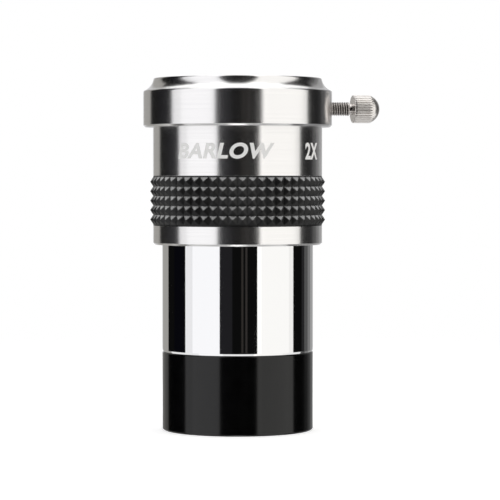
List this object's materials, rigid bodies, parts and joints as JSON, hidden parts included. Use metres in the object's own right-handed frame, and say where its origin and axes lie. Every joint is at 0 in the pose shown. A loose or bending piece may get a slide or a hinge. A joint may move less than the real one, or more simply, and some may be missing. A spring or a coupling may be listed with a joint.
{
  "type": "barlow lens",
  "caption": "Tube-shaped focal extender for telescope eyepieces, with a clamping collar, a rubber grip band and a screw-off lens cell.",
  "frame": {"origin": "centre of the lens cell's lower end face, on the optical axis", "axes": "+Z along the optical axis, from the telescope's side to the eyepiece; the thumbscrew stands out at 10 degrees from +X towards +Y"},
  "size_m": [0.0499, 0.0396, 0.0737],
  "materials": {
    "collar_metal": "turned and polished",
    "ring_brass": "turned",
    "screw_steel": "nickel plated",
    "knob_steel": "nickel plated",
    "body_metal": "turned, circumferential brushing",
    "grip_rubber": "moulded satin",
    "barrel_chrome": "mirror polished",
    "baffle_black": "matt black anodised",
    "cell_black": "gloss black anodised",
    "flint_glass": "coated",
    "crown_glass": "coated",
    "retainer_black": "matt black anodised"
  },
  "bodies": {
    "housing": {"eyepiece_collar": "collar_metal", "main_body": "body_metal", "rubber_grip": "grip_rubber", "nose_barrel": "barrel_chrome", "baffle_sleeve": "baffle_black"},
    "clamp_ring": {"compression_ring": "ring_brass"},
    "screw_carriage": {"thumbscrew_stud": "screw_steel"},
    "screw_knob": {"thumbscrew_knob": "knob_steel"},
    "lens_group": {"flint_element": "flint_glass", "crown_element": "crown_glass"},
    "cell": {"lens_cell": "cell_black", "lens_retaining_ring": "retainer_black"}
  },
  "joints": [
    {"name": "screw_feed", "type": "slide", "parent": "housing", "child": "screw_carriage", "axis": [0.9848, 0.1736, 0], "range_m": [-0.0005, 0.0015]},
    {"name": "screw_turn", "type": "hinge", "parent": "screw_carriage", "child": "screw_knob", "pos_m": [0, 0, 0.06747], "axis": [0.9848, 0.1736, 0], "range_deg": [-360, 1080]},
    {"name": "ring_press", "type": "slide", "parent": "housing", "child": "clamp_ring", "axis": [-0.9848, -0.1736, 0], "range_m": [0, 0.00025], "stiffness_N_per_m": 500},
    {"name": "cell_travel", "type": "slide", "parent": "housing", "child": "lens_group", "axis": [0, 0, -1], "range_m": [0, 0.0042]},
    {"name": "cell_turn", "type": "hinge", "parent": "lens_group", "child": "cell", "pos_m": [0, 0, 0.0105], "axis": [0, 0, -1], "range_deg": [0, 2520]}
  ],
  "couplings": [
    {"joint": "screw_turn", "follows": "screw_feed", "rad_per_m": 12566},
    {"joint": "cell_turn", "follows": "cell_travel", "rad_per_m": 10472}
  ]
}
